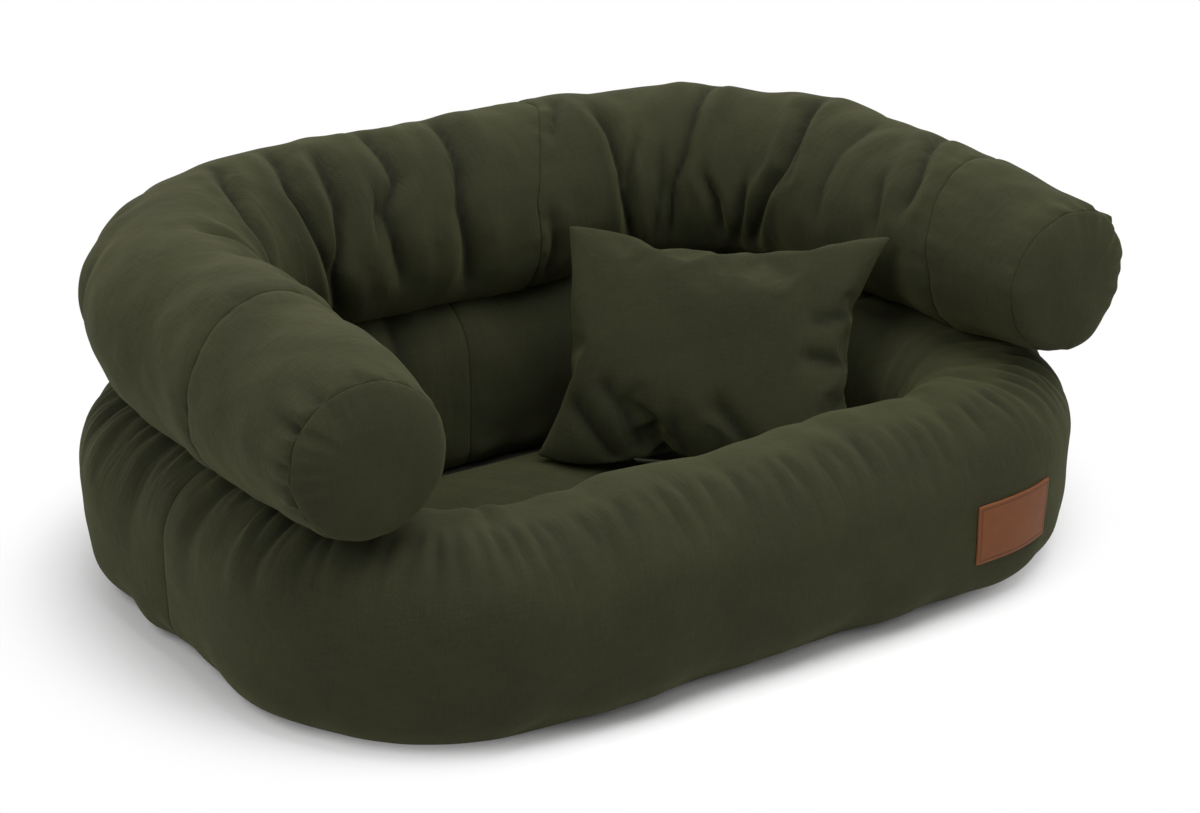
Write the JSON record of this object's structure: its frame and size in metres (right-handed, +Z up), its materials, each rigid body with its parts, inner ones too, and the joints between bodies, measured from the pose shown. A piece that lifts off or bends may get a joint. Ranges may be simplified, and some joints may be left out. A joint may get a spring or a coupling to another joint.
{
  "type": "dog bed",
  "caption": "Stuffed canvas dog bed shaped like a small armchair: a low wall with a fat rolled back and arms, a lift-out seat cushion and a loose throw pillow.",
  "frame": {"origin": "on the floor, under the middle of the bed's box", "axes": "+X across the bed, to the right of someone who faces its open front; -Y is the front; +Z is up"},
  "size_m": [1.036, 0.8118, 0.4009],
  "materials": {
    "canvas": "matte plain-weave cotton canvas",
    "base_cloth": "matte coated base cloth",
    "stuffing": "loose polyester fibre",
    "label_leather": "smooth tan leather",
    "zip_coil": "nylon coil on woven tape",
    "zip_metal": "enamelled die-cast zinc"
  },
  "bodies": {
    "bed": {"floor_panel": "base_cloth", "front_wall_cover": "canvas", "left_wall_cover": "canvas", "right_wall_cover": "canvas", "front_wall_stuffing": "stuffing", "left_wall_stuffing": "stuffing", "right_wall_stuffing": "stuffing", "roll_cover_right_arm": "canvas", "roll_cover_right_back": "canvas", "roll_cover_left_back": "canvas", "roll_cover_left_arm": "canvas", "roll_stuffing_right_arm": "stuffing", "roll_stuffing_right_back": "stuffing", "roll_stuffing_left_back": "stuffing", "roll_stuffing_left_arm": "stuffing", "left_arm_end_cap": "canvas", "right_arm_end_cap": "canvas", "label_patch": "label_leather"},
    "seat_cushion": {"seat_cushion_top_cover": "canvas", "seat_cushion_bottom_cover": "canvas", "seat_cushion_stuffing": "stuffing", "seat_cushion_zip_chain": "zip_coil"},
    "seat_zip_slider": {"seat_cushion_zip_slider": "zip_metal"},
    "seat_zip_pull": {"seat_cushion_zip_pull": "zip_metal"},
    "throw_pillow": {"throw_pillow_front_panel": "canvas", "throw_pillow_back_panel": "canvas", "throw_pillow_stuffing": "stuffing", "throw_pillow_zip_chain": "zip_coil"},
    "pillow_zip_slider": {"throw_pillow_zip_slider": "zip_metal"},
    "pillow_zip_pull": {"throw_pillow_zip_pull": "zip_metal"}
  },
  "joints": [
    {"name": "seat_cushion_lift", "type": "slide", "parent": "bed", "child": "seat_cushion", "axis": [0, 0, 1], "range_m": [0, 0.45]},
    {"name": "throw_pillow_lift", "type": "slide", "parent": "seat_cushion", "child": "throw_pillow", "axis": [-0.6, 0, 0.8], "range_m": [0, 0.45]},
    {"name": "seat_zip_travel", "type": "slide", "parent": "seat_cushion", "child": "seat_zip_slider", "axis": [-1, 0, 0], "range_m": [0, 0.336]},
    {"name": "seat_zip_pull_swing", "type": "hinge", "parent": "seat_zip_slider", "child": "seat_zip_pull", "pos_m": [0.168, 0.1639, 0.021], "axis": [0, 0, 1], "range_deg": [0, 175]},
    {"name": "pillow_zip_travel", "type": "slide", "parent": "throw_pillow", "child": "pillow_zip_slider", "axis": [-0.5073, 0.8558, -0.1017], "range_m": [0, 0.126]},
    {"name": "pillow_zip_pull_swing", "type": "hinge", "parent": "pillow_zip_slider", "child": "pillow_zip_pull", "pos_m": [0.1561, -0.12491, 0.07562], "axis": [-0.7951, -0.4192, 0.4384], "range_deg": [-85, 85]}
  ]
}
